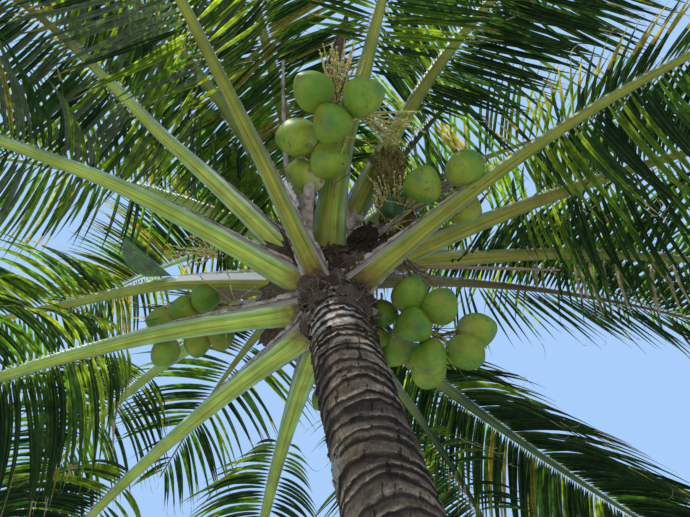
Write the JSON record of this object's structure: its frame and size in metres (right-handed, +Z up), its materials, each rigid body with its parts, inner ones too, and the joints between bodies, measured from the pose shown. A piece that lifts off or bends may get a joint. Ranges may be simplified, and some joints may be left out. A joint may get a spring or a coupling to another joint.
{
  "type": "coconut palm tree",
  "caption": "A young bearing coconut palm: a leaning ringed trunk with a flared foot, a full round crown of feathered fronds, green nuts in bunches and woody spathes.",
  "frame": {"origin": "on the level ground, at the middle of the flat cut under the trunk", "axes": "+Z up; the trunk leans towards -X; -Y is the side the picture is taken from"},
  "size_m": [9.2368, 9.0215, 8.624],
  "materials": {
    "bark": "grey-brown ringed palm bark, matte",
    "frond": "mid green leaflets on a pale green rib, slightly waxy",
    "spear": "pale yellow-green shut leaf",
    "nut": "smooth yellow-green husk, satin",
    "spathe": "dry brown woody bract, matte"
  },
  "bodies": {
    "root": {"trunk": "bark", "bunch_front": "nut", "bunch_right": "nut", "bunch_front_right": "nut", "bunch_left": "nut", "bunch_back": "nut", "spathe_front": "spathe", "spathe_left": "spathe", "spathe_right": "spathe", "spear": "spear", "frond_01": "frond", "frond_02": "frond", "frond_03": "frond", "frond_04": "frond", "frond_05": "frond", "frond_06": "frond", "frond_07": "frond", "frond_08": "frond", "frond_09": "frond", "frond_10": "frond", "frond_11": "frond", "frond_12": "frond", "frond_13": "frond", "frond_14": "frond", "frond_15": "frond", "frond_16_lower": "frond", "frond_16_upper": "frond", "frond_17": "frond", "frond_18": "frond", "frond_19_lower": "frond", "frond_19_upper": "frond", "frond_20_lower": "frond", "frond_20_upper": "frond", "frond_21_lower": "frond", "frond_21_upper": "frond", "frond_22_lower": "frond", "frond_22_upper": "frond", "frond_23_lower": "frond", "frond_23_upper": "frond", "frond_24_lower": "frond", "frond_24_upper": "frond", "frond_25_lower": "frond", "frond_25_upper": "frond"}
  },
  "joints": []
}
